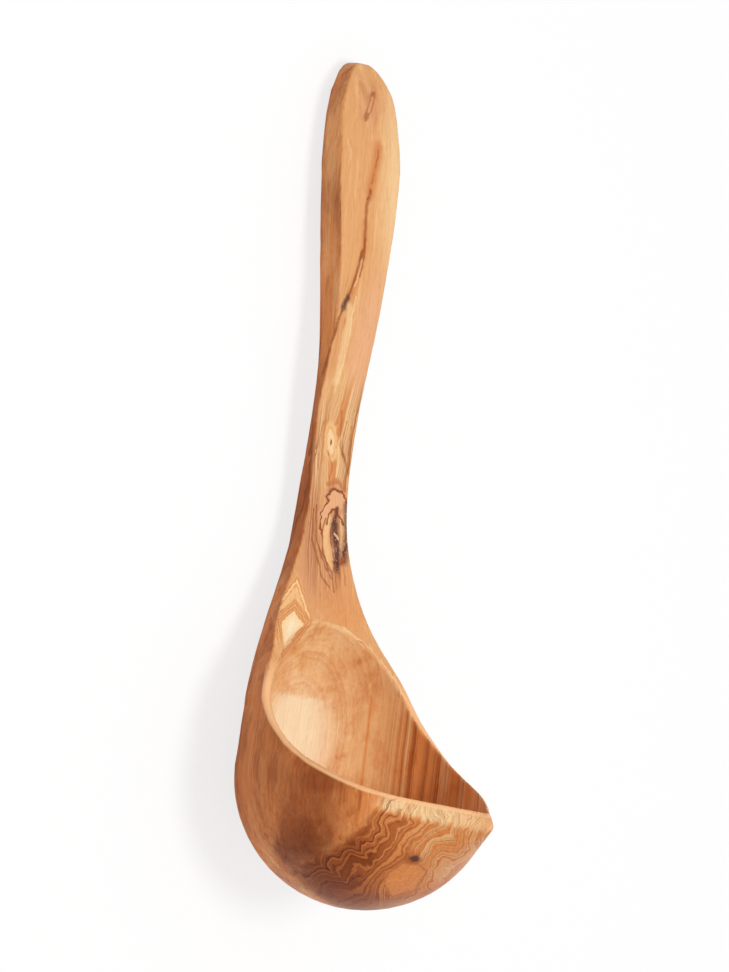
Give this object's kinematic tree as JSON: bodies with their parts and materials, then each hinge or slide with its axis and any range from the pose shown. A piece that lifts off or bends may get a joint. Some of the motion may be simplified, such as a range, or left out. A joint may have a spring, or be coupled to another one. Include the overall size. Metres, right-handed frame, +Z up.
{
  "type": "soup ladle",
  "caption": "Carved wooden soup ladle with a deep round bowl, a pointed pouring lip and a flat-fronted paddle handle, for dipping and serving soup.",
  "frame": {"origin": "middle of the base of the bounding box, at table level, with the ladle lying on its back on the bowl and the heel of the handle", "axes": "+X along the length from the handle's end toward the bowl, +Y across the ladle, +Z up from the table; the mouth of the bowl opens up and back toward the handle"},
  "size_m": [0.2994, 0.093, 0.108],
  "materials": {
    "olive_wood": "hand-sanded and oiled, satin"
  },
  "bodies": {
    "root": {"ladle": "olive_wood"}
  },
  "joints": []
}
